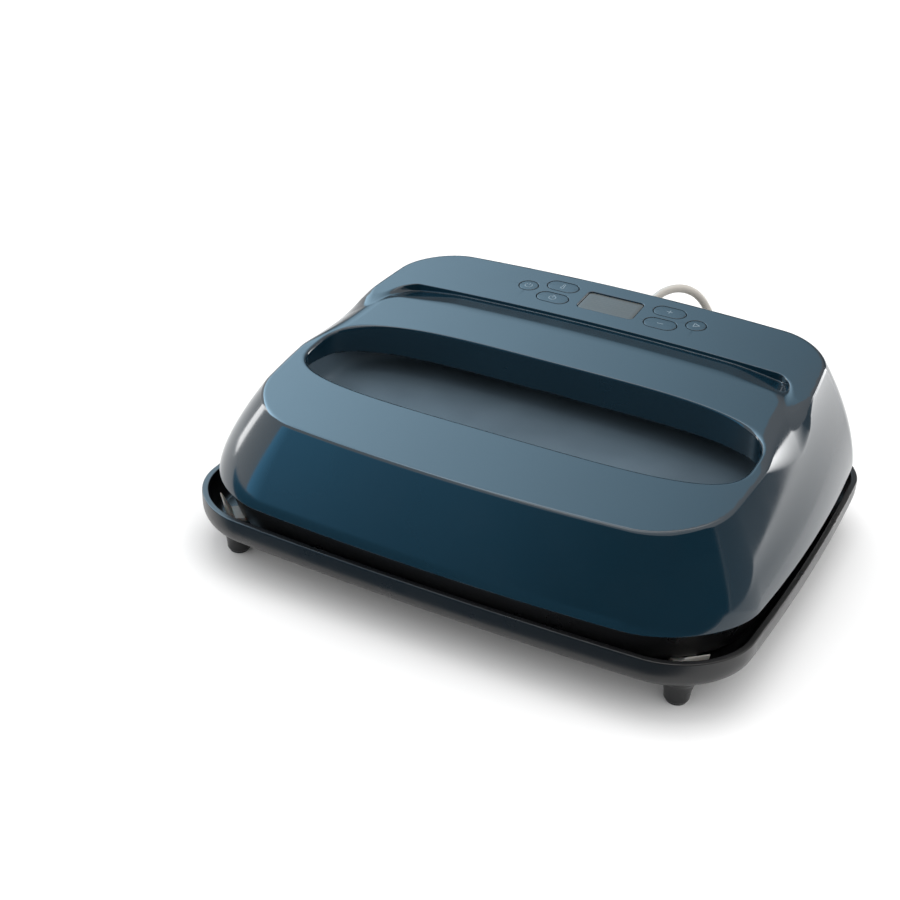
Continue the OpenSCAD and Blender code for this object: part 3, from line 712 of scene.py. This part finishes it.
def make_display(material):
    shape = next(s for s in key_shapes() if s[0] == "display")
    soft = 0.25
    edge = [(-0.95 + soft * math.sin(a), -0.25 - soft * (1 - math.cos(a)))
            for a in np.radians([0, 30, 60, 90])]
    points, faces = loft(face_rings(shape, [(-3.2, -0.25)] + edge + [(-0.7, -3.0)]))
    return crisp(piece("display_lens", points, faces, "press", material,
                       ["display_window"], "lcd_window"), 30)


# ---- mains lead

def tube(line, r, n=16):
    """A round tube with its cross-section carried along without twist, and flat ends."""
    line = np.asarray(line, float)
    way = np.gradient(line, axis=0)
    way /= np.linalg.norm(way, axis=1)[:, None]
    side = np.cross(way[0], (0.3, 0.2, 0.9))
    a = np.linspace(0, 2 * np.pi, n, endpoint=False)
    rings = []
    for p, w in zip(line, way):
        side = side - w * (side @ w)
        side /= np.linalg.norm(side)
        other = np.cross(w, side)
        rings.append(p + r * (np.cos(a)[:, None] * side + np.sin(a)[:, None] * other))
    return loft(rings)


def spline(guide, steps):
    """A smooth route guided by points, straight along its first and last pair."""
    g = np.array(guide, float)
    g = np.vstack([2 * g[0] - g[1], g, 2 * g[-1] - g[-2]])
    t = np.linspace(0, 1, steps, endpoint=False)[:, None]
    shares = ((1 - t) ** 3, 3 * t ** 3 - 6 * t ** 2 + 4, 3 * (t + t ** 2 - t ** 3) + 1, t ** 3)
    out = [sum(share * g[i + k] for k, share in enumerate(shares)) / 6 for i in range(len(g) - 3)]
    return np.vstack(out + [g[-2]])


def coil_turns(outer, z):
    """Turns laid side by side, inwards on the table, outwards on top, then one and a quarter above."""
    turns = [(0, 0), (1, 0), (2, 0), (2, 1), (1, 1), (0, 1), (1, 2), (0, 2)]
    out = []
    for turn, (col, row) in enumerate(turns):
        last = turn == len(turns) - 1
        ncol, nrow = (col, row) if last else turns[turn + 1]
        for a in np.arange(0, 90 if last else 360, 6.0):
            k = step(a, 250, 360)
            swell = 0.2 * (row != nrow) * (1 if col else -1) * 4 * k * (1 - k)
            r = outer - CORD_D * (col + (ncol - col) * k + swell)
            h = z + CORD_D * (row + (nrow - row) * k)
            h += TIE_T * max(0, 1 - ((a - TIE_AT) / 30) ** 2) ** 2
            t = math.radians(a)
            out.append((COIL_AT[0] + r * math.cos(t), COIL_AT[1] + r * math.sin(t), h))
    return out


def cord_route():
    """The sleeve's tip, and the lead's route: an arch given point by point, the coil, and a tail given point
    by point.
    """
    outer = COIL_D / 2 + CORD_D
    lead_x, tail_y, rest = COIL_AT[0] + outer, COIL_AT[1] + outer, CORD_D / 2
    tip = RELIEF_AT + RELIEF_LEN * RELIEF_WAY
    guide = [tip, tip + 7 * RELIEF_WAY, (4, 170, 96), (14, 182, 98), (25, 191, 91), (33, 193, 77),
             (40, 186, 66), (44, 175, 60), (46, 164, 54), (47, 154, 47), (48, 147, 38), (49, 145, 27),
             (50, 148, 15), (50, 156, 6.5), (lead_x, 167, rest), (lead_x, 174, rest)]
    free = spline(guide, 8)
    along = [(lead_x, y, rest) for y in (180, 186, 191)]
    top = rest + 2 * CORD_D
    tail = [(COIL_AT[0], tail_y, top), (5, tail_y, 13.6), (-2, tail_y, 13.2), (-8.6, tail_y, 12.5),
            (-15, tail_y, 11.6), (-21, tail_y, 10.9), (-27, tail_y, 10.4), (-32, tail_y, 10.1),
            (-35, tail_y, 10), (-40, tail_y, 10)]
    return tip, np.vstack([tip - 3 * RELIEF_WAY, free, along, coil_turns(outer, rest), spline(tail, 4)])


def make_relief(material):
    """The tapered sleeve, ribbed so that it bends, on the slanting exit in the rear wall."""
    profile = [(5.5, -9), (5.5, 5.6), (6.2, 6.1), (7.0, 6.6), (7.0, 8.3), (6.6, 8.7)]
    for k in range(7):
        s0, r = 9.2 + 2.5 * k, 5.4 - 0.2 * k
        profile += [(r - 0.75, s0), (r - 0.75, s0 + 0.8), (r, s0 + 1.1), (r, s0 + 2.2)]
    profile += [(3.9, 27.2), (3.6, RELIEF_LEN)]
    tilt = Matrix.Rotation(math.radians(-45), 3, "X")
    rings = [np.array([tilt @ Vector(p) for p in ring]) + RELIEF_AT for ring in turned(profile, 40)]
    points, faces = loft(rings)
    return crisp(piece("relief_sleeve", points, faces, "press", material,
                       ["strain_relief"], "cord_jacket"), 30)


def make_plug(material):
    """A moulded three-pin plug lying beside the coil, with a ribbed neck and finger grips."""
    at = np.array([high("plug_body")[0], COIL_AT[1] + COIL_D / 2 + CORD_D, 10.0])
    rings = []

    def ring(s, w, h, r, lift):
        p = rounded_ring(w, h, r, 0, 12)
        rings.append(np.stack([np.full(len(p), at[0] - s), at[1] + p[:, 0], at[2] + lift + p[:, 1]], 1))
    ring(0, 6.6, 6.6, 3.3, 0)
    for k in range(6):
        s, d = 0.6 + 3.2 * k, 7.4 + 0.5 * k
        for ds, dd in ((0, 0), (1.9, 0), (2.1, -1.4), (3.0, -1.4)):
            ring(s + ds, d + dd, d + dd, (d + dd) / 2, 0)
    shoulder = ((20, 10.4, 10.4, 5.2, 0), (21.5, 13, 12.4, 6, 0.6), (24, 18.4, 17.6, 7.4, 1.7),
                (28, 22.4, 23.4, 7.6, 2.8), (33, 24.0, 26.2, 6.8, 3.5), (38, 24.6, 27.2, 6, 3.7))
    for level in shoulder:
        ring(*level)
    for k in range(3):
        s = 39 + 2.6 * k
        for ds, d in ((0, 0), (0.5, -0.9), (1.4, -0.9), (1.9, 0)):
            ring(s + ds, 24.8 + d, 27.4 + d, 5.4, 3.7)
    for s, grow in ((50.6, 0), (51.6, -0.8), (52, -2.2)):
        ring(s, 24.8 + grow, 27.4 + grow, 5.4 + grow / 2, 3.7)
    points, faces = loft([r[::-1] for r in rings])
    return crisp(piece("plug", points, faces, "base", material, ["plug_body"], "cord_jacket"), 34)


def make_cord(material):
    tip, route = cord_route()
    points, faces = tube(route, CORD_D / 2)
    obj = piece("mains_lead", points, faces, None, material,
                ["cord", "cord_coil", "cord_tail"], "cord_jacket")
    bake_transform(obj)
    return obj


# ---- materials

class Finish:
    """A Principled material with its nodes."""

    def __init__(self, name, **sockets):
        self.material = bpy.data.materials.new(name)
        self.material.use_nodes = True
        self.tree = self.material.node_tree
        self.shader = self.tree.nodes["Principled BSDF"]
        self.coords = self.tree.nodes.new("ShaderNodeTexCoord").outputs["Object"]
        for key, value in sockets.items():
            self.shader.inputs[key.replace("_", " ")].default_value = value

    def node(self, kind, **values):
        """A new node, with its inputs set by name."""
        node = self.tree.nodes.new("ShaderNode" + kind)
        for key, value in values.items():
            node.inputs[key.replace("_", " ")].default_value = value
        return node

    def noise(self, scale, detail=3.0, stretch=None, rough=0.5):
        """Noise on the piece's own coordinates, which stretch multiplies."""
        source = self.coords
        if stretch:
            mapping = self.node("Mapping", Scale=stretch)
            self.tree.links.new(source, mapping.inputs["Vector"])
            source = mapping.outputs["Vector"]
        n = self.node("TexNoise", Scale=scale, Detail=detail, Roughness=rough)
        self.tree.links.new(source, n.inputs["Vector"])
        return n.outputs["Fac"]

    def ranged(self, value, lo, hi, from_lo=0.3, from_hi=0.7):
        """The value with from_lo to from_hi spread over lo to hi."""
        m = self.node("MapRange")
        for i, v in zip((1, 2, 3, 4), (from_lo, from_hi, lo, hi)):
            m.inputs[i].default_value = v
        self.tree.links.new(value, m.inputs[0])
        return m.outputs[0]

    def colour(self, fac, *stops):
        """Sets the base colour by a ramp of (position, colour) stops."""
        ramp = self.node("ValToRGB")
        while len(ramp.color_ramp.elements) < len(stops):
            ramp.color_ramp.elements.new(0.5)
        for element, (at, rgb) in zip(ramp.color_ramp.elements, stops):
            element.position = at
            element.color = (*rgb, 1)
        self.tree.links.new(fac, ramp.inputs["Fac"])
        self.tree.links.new(ramp.outputs["Color"], self.shader.inputs["Base Color"])
        return self

    def rough(self, fac, lo, hi):
        self.tree.links.new(self.ranged(fac, lo, hi), self.shader.inputs["Roughness"])
        return self

    def bump(self, height, strength, distance):
        b = self.node("Bump", Strength=strength, Distance=distance * MM)
        self.tree.links.new(height, b.inputs["Height"])
        self.tree.links.new(b.outputs["Normal"], self.shader.inputs["Normal"])
        return self


def shade(rgb, k):
    """The colour made k times as bright."""
    return tuple(min(1, c * k) for c in rgb)


def moulded(name, rgb, rough, grain=0.0, grain_scale=900, vary=0.12, **sockets):
    """Moulded plastic or rubber: slight flow marks in its colour, uneven gloss, and a fine grain."""
    f = Finish(name, **sockets)
    f.colour(f.noise(14, 4), (0.35, shade(rgb, 1 - vary)), (0.65, shade(rgb, 1 + vary)))
    f.rough(f.noise(45, 5), rough * 0.86, rough * 1.16)
    if grain:
        f.bump(f.noise(grain_scale, 2), 0.6, grain)
    return f.material


def metal(name, rgb, rough, brushed=None, vary=0.1, bump=0.004):
    """Bare metal. Brushed says how its marks are stretched along each axis."""
    f = Finish(name, Metallic=1.0)
    f.colour(f.noise(60, 5), (0.3, shade(rgb, 1 - vary)), (0.7, shade(rgb, 1 + vary)))
    lines = f.noise(220, 4, brushed or (1, 1, 1))
    return f.rough(lines, rough * 0.75, rough * 1.3).bump(lines, 0.5, bump).material


def plastic_gloss():
    """High-gloss blue moulding: faint flow marks, handling haze and a little orange peel."""
    f = Finish("blue_gloss", IOR=1.53)
    f.colour(f.noise(9, 5), (0.35, (0.0034, 0.0145, 0.0245)), (0.65, (0.0043, 0.0178, 0.0295)))
    f.rough(f.noise(38, 6), 0.09, 0.15)
    return f.bump(f.noise(150, 2), 0.25, 0.02).material


def glass_over_display():
    """An opaque stand-in for a tinted window over a display that is off, with its cells as a faint grid."""
    f = Finish("window", IOR=1.49)
    cells = f.node("TexBrick", Scale=110, Mortar_Size=0.02, Color1=(0.054, 0.05, 0.041, 1),
                   Color2=(0.058, 0.053, 0.043, 1), Mortar=(0.048, 0.044, 0.037, 1))
    f.tree.links.new(f.coords, cells.inputs["Vector"])
    f.tree.links.new(cells.outputs["Color"], f.shader.inputs["Base Color"])
    return f.rough(f.noise(60, 4), 0.16, 0.26).material


def fibre_mat():
    f = Finish("glass_fibre", Roughness=0.9)
    fibres = f.noise(90, 8, (1, 6, 1), 0.75)
    f.colour(fibres, (0.3, (0.56, 0.52, 0.42)), (0.7, (0.8, 0.77, 0.68)))
    return f.bump(fibres, 0.8, 0.4).material


def webbing():
    """Woven hook-and-loop strap."""
    f = Finish("strap", Sheen_Weight=0.4)
    weave = f.node("TexWave", Scale=420, Distortion=1.5)
    f.tree.links.new(f.coords, weave.inputs["Vector"])
    f.colour(weave.outputs["Fac"], (0.2, (0.008, 0.008, 0.009)), (0.8, (0.03, 0.03, 0.033)))
    f.rough(f.noise(200, 3), 0.75, 0.9)
    return f.bump(weave.outputs["Fac"], 0.7, 0.15).material


def board_finish():
    """Green solder mask with copper tracks faintly showing through."""
    f = Finish("board", Coat_Weight=0.3)
    tracks = f.node("TexVoronoi", Scale=130)
    tracks.feature = "DISTANCE_TO_EDGE"
    f.tree.links.new(f.coords, tracks.inputs["Vector"])
    f.colour(tracks.outputs["Distance"], (0.04, (0.03, 0.16, 0.06)), (0.1, (0.012, 0.075, 0.03)))
    return f.rough(f.noise(50, 3), 0.3, 0.45).material


def make_materials():
    return {
        "blue_shell": plastic_gloss(),
        "button_blue": moulded("button_satin", (0.0052, 0.0195, 0.032), 0.2, 0.006, 1400),
        "dark_grey_plastic": moulded("dark_grey", (0.07, 0.1, 0.125), 0.38, 0.012, 1600),
        "black_plastic": moulded("black", (0.0075, 0.0078, 0.0085), 0.3, 0.012, 1500),
        "grey_silicone": moulded("silicone", (0.47, 0.45, 0.42), 0.62, 0.02, 900, 0.06,
                                 Subsurface_Weight=0.1),
        "black_rubber": moulded("foot_rubber", (0.018, 0.018, 0.02), 0.75, 0.03, 1100),
        "plate_aluminium": moulded("coated_plate", (0.085, 0.085, 0.09), 0.42, 0.02, 2200, 0.15,
                                   Metallic=0.35),
        "heater_foil": metal("foil", (0.52, 0.38, 0.25), 0.3, (1, 30, 1)),
        "glass_wool": fibre_mat(),
        "ceramic": moulded("ceramic", (0.8, 0.78, 0.72), 0.55, 0.02, 1300, 0.04),
        "screw_steel": metal("zinc_plate", (0.56, 0.56, 0.54), 0.3),
        "brass": metal("brass", (0.74, 0.58, 0.29), 0.24, (30, 1, 1)),
        "circuit_board": board_finish(),
        "components": moulded("component_body", (0.05, 0.05, 0.056), 0.45, 0.02, 1500),
        "lcd_frame": moulded("display_frame", (0.07, 0.07, 0.072), 0.5, 0.015, 1500),
        "lcd_window": glass_over_display(),
        "lead_insulation": moulded("wire_jacket", (0.42, 0.1, 0.085), 0.5, 0.01, 1500),
        "cord_jacket": moulded("cord_grey", (0.45, 0.425, 0.385), 0.42, 0.012, 1300, 0.05),
    }


INSIDE = {
    "handle_underside": "dark_grey_plastic", "heating_element": "heater_foil",
    "insulation_sheet": "glass_wool", "plate_spacers": "ceramic", "plate_screws": "screw_steel",
    "thermostat": "brass", "thermal_fuse": "screw_steel", "temperature_sensor": "ceramic",
    "housing_screws": "screw_steel", "power_board": "circuit_board", "power_parts": "components",
    "control_board": "circuit_board", "board_screws": "screw_steel", "display_module": "lcd_frame",
    "switch_mat": "grey_silicone", "buzzer": "components", "ribbon_cable": "grey_silicone",
    "heater_leads": "lead_insulation", "mains_leads": "lead_insulation", "clamp_screws": "screw_steel",
}


def dress_inside(finishes):
    """The CAD parts inside the press keep their shape and get their finish."""
    for node, slot in INSIDE.items():
        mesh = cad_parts[node].data
        mesh.materials.clear()
        mesh.materials.append(finishes[slot])


# ---- small parts

def make_feet(material):
    parts = []
    for sx in (-1, 1):
        for sy in (-1, 1):
            profile = [(4.2, 0)] + fillet(4.6, 0, 5.6, 1.0, 1) + [(5.6, 1.5)]
            parts.append(loft(turned(profile, 36, (sx * LEG_X, sy * LEG_Y, 0))))
    crisp(piece("rubber_feet", *joined(*parts), "base", material, ["foot_pads"], "black_rubber"))


def make_tie(material):
    """A strap round the coil's bundle, with its free end lapped over the outside."""
    t = math.radians(TIE_AT)
    out = np.array([math.cos(t), math.sin(t), 0])
    along = np.array([-math.sin(t), math.cos(t), 0])
    middle = np.array([*COIL_AT, TIE_T + 1.5 * CORD_D]) + COIL_D / 2 * out

    def loop(s, grow):
        p = rounded_ring(3 * CORD_D, 3 * CORD_D, 4.0, grow, 8)
        return middle + p[:, :1] * out + p[:, 1:] * [0, 0, 1] + s * along
    section = ((-4.7, 0.05), (4.7, 0.05), (5, 0.3), (5, 0.7), (4.7, 1.0), (-4.7, 1.0), (-5, 0.7), (-5, 0.3))
    points, faces = loft([loop(s, g) for s, g in section], None, None, close=True)
    lap = []
    for s in np.linspace(-6.5, 6.5, 12):
        w, g = (4.4, 2.0) if s < 6 else (3.6, 1.6)
        base = middle + (1.5 * CORD_D + 0.9) * out + [0, 0, s]
        edge = ((-w, 0), (w, 0), (w, g - 1.2), (w - 0.3, g - 0.9), (0.3 - w, g - 0.9), (-w, g - 1.2))
        lap.append(np.array([base + a * along + b * out for a, b in edge]))
    return crisp(piece("cord_strap", *joined((points, faces), loft(lap)), "base", material,
                       ["cord_tie"], "black_rubber"))


def make_earth_pin(material):
    """A round pin along x with a domed end."""
    lo, hi = low("earth_pin"), high("earth_pin")
    r, y, z = (hi[1] - lo[1]) / 2, (hi[1] + lo[1]) / 2, (hi[2] + lo[2]) / 2
    dome = [(lo[0] + 2.4 * (1 - math.sin(a)), math.cos(a) * 0.8 + 0.2)
            for a in np.radians([0, 22, 45, 68, 85])]
    t = np.linspace(0, 2 * np.pi, 28, endpoint=False)
    rings = []
    for x, k in [(hi[0], 1)] + dome:
        rings.append(np.stack([np.full(len(t), x), y + r * k * np.cos(t), z + r * k * np.sin(t)], 1))
    return crisp(piece("pin", *loft(rings), "base", material, ["earth_pin"], "brass"), 40)


# ---- floor and light

def grid_sheet(name, w, d, place, material):
    """A backdrop or card mesh that lies as place says."""
    us, vs = np.linspace(-1, 1, 24), np.linspace(0, 1, 48)
    points = [place(u * w, v * d) for v in vs for u in us]
    n = len(us)
    faces = [(j * n + i, j * n + i + 1, (j + 1) * n + i + 1, (j + 1) * n + i)
             for j in range(len(vs) - 1) for i in range(n - 1)]
    mesh = bpy.data.meshes.new(name)
    mesh.from_pydata(points, [], faces)
    mesh.shade_smooth()
    mesh.materials.append(material)
    obj = placed(name, mesh)
    return obj


def make_floor():
    f = Finish("paper", Specular_IOR_Level=0.1)
    f.colour(f.noise(4, 3), (0.3, (0.885, 0.885, 0.885)), (0.7, (0.905, 0.905, 0.905)))
    f.rough(f.noise(30, 3), 0.85, 0.95)
    grid_sheet("floor", 6, 12, lambda x, y: (x, y - 6, 0), f.material)


def light(name, at, aim, size, power):
    """A rectangular lamp at one point, aimed at another."""
    data = bpy.data.lights.new(name, "AREA")
    data.shape = "RECTANGLE"
    data.size, data.size_y = size
    data.energy = power
    obj = placed(name, data)
    obj.location = at
    obj.rotation_euler = (Vector(aim) - Vector(at)).to_track_quat("-Z", "Y").to_euler()


def card(name, corner, across, up, glow, far_glow, tint=(1, 1, 1), start=0.0, fade=1.0):
    """A studio card that only shows as a reflection. One without glow hides the white surroundings.

    From start on, its glow changes along across. At corner it is fade times as bright as at the end of up.
    """
    corner, across, up = map(np.array, (corner, across, up))
    f = Finish(name, Base_Color=(0, 0, 0, 1), Specular_IOR_Level=0, Emission_Color=(*tint, 1))
    ramp = f.node("SeparateXYZ")
    f.tree.links.new(f.tree.nodes["Texture Coordinate"].outputs["Generated"], ramp.inputs[0])
    main = int(np.argmax(np.abs(across)))
    span = (start, 1) if across[main] > 0 else (1 - start, 0)
    strength = f.ranged(ramp.outputs[main], glow, far_glow, *span)
    f.tree.links.new(strength, f.shader.inputs["Emission Strength"])
    side = int(np.argmax(np.abs(up)))
    ends = (fade, 1) if up[side] > 0 else (1, fade)
    tints = f.node("ValToRGB")
    for element, k in zip(tints.color_ramp.elements, ends):
        element.color = (*shade(tint, k), 1)
    f.tree.links.new(ramp.outputs[side], tints.inputs["Fac"])
    f.tree.links.new(tints.outputs["Color"], f.shader.inputs["Emission Color"])

    def place(u, v):
        return tuple(corner + across * (u + 1) / 2 + up * v)
    obj = grid_sheet(name, 1, 1, place, f.material)
    for kind in ("camera", "diffuse", "transmission", "volume_scatter", "shadow"):
        setattr(obj, "visible_" + kind, False)


def make_lights():
    world = bpy.data.worlds.new("studio")
    world.use_nodes = True
    background = world.node_tree.nodes["Background"]
    background.inputs["Color"].default_value = (1, 1, 1, 1)
    background.inputs["Strength"].default_value = 1.2
    bpy.context.scene.world = world
    light("overhead", (-0.1, 0.2, 1.6), (0, 0, 0), (1.2, 1.0), 7)
    card("front_card", (-2.6, -1.5, -0.1), (2.43, 0, 0), (0, 0, 2.2), 3.0, 0.0, (0.2, 0.6, 1.0))
    card("front_right_card", (-0.17, -1.5, -0.1), (1.77, 0, 0), (0, 0, 2.2), 0.0, 0.0)
    card("side_card", (1.6, -1.5, -0.1), (0.1, 1.5, 0), (0, 0, 2.2), 0.0, 0.0)
    card("front_floor_card", (-1.4, -1.5, 0.0012), (1.9, 0, 0), (0, 1.34, 0), 0.8, 0.0, (0.2, 0.62, 1.0))
    card("right_front_floor_card", (0.5, -1.5, 0.0012), (1.1, 0, 0), (0, 1.34, 0), 0.0, 0.0)
    card("right_card", (1.4, 0.0, 0.0), (-0.7, 1.8, 0), (0, 0, 1.0), 0.3, 12.0, start=0.6)
    card("right_floor_card", (0.25, 0.0, 0.0012), (0, 1.8, 0), (1.1, 0, 0), 1.0, 4.5, start=0.1)
    card("left_card", (-1.3, 0.0, 0.0), (0, 0.16, 0), (0, 0, 0.7), 7.0, 7.0)
    card("sky_card", (-0.3, 0.0, 1.6), (0, 3.3, 0), (-2.7, 0, 0), 13.0, 0.5, (0.54, 0.8, 1.0), fade=0.19)
    card("sky_right_card", (2.0, 0.0, 1.6), (0, 3.3, 0), (-2.3, 0, 0), 1.6, 0.2, (1.0, 0.95, 0.92))
    card("back_card", (3.0, 3.3, 0.3), (-6.0, 0, 0), (0, 0, 1.3), 0.15, 0.15)


# ---- the whole

def build():
    make_camera()
    finish = make_materials()
    relief = make_relief(finish["cord_jacket"])
    tie = make_tie(webbing())
    plug = make_plug(finish["cord_jacket"])
    blades = softened("plug_blades", "blades", "base", finish["brass"], 0.25)
    pin = make_earth_pin(finish["brass"])
    make_cord(finish["cord_jacket"])
    make_housing(finish["blue_shell"])
    make_well(finish["dark_grey_plastic"])
    make_skirt(finish["black_plastic"])
    make_tray(finish["black_plastic"])
    make_feet(finish["black_rubber"])
    softened("corner_pads", "corner_wedges", "base", finish["grey_silicone"], 0.5)
    softened("heat_plate", "plate", "press", finish["plate_aluminium"], 0.7)
    softened("cord_clamp", "clamp_bar", "press", finish["black_plastic"], 0.5)
    pale = moulded("symbol_ink", (0.15, 0.2, 0.235), 0.3, 0.004, 1500)
    for shape in key_shapes()[:-1]:
        make_button(shape, finish["button_blue"])
        make_icon(shape, pale)
    make_display(finish["lcd_window"])
    dress_inside(finish)
    make_floor()
    make_lights()
    bpy.context.scene.view_settings.view_transform = "Standard"


build()
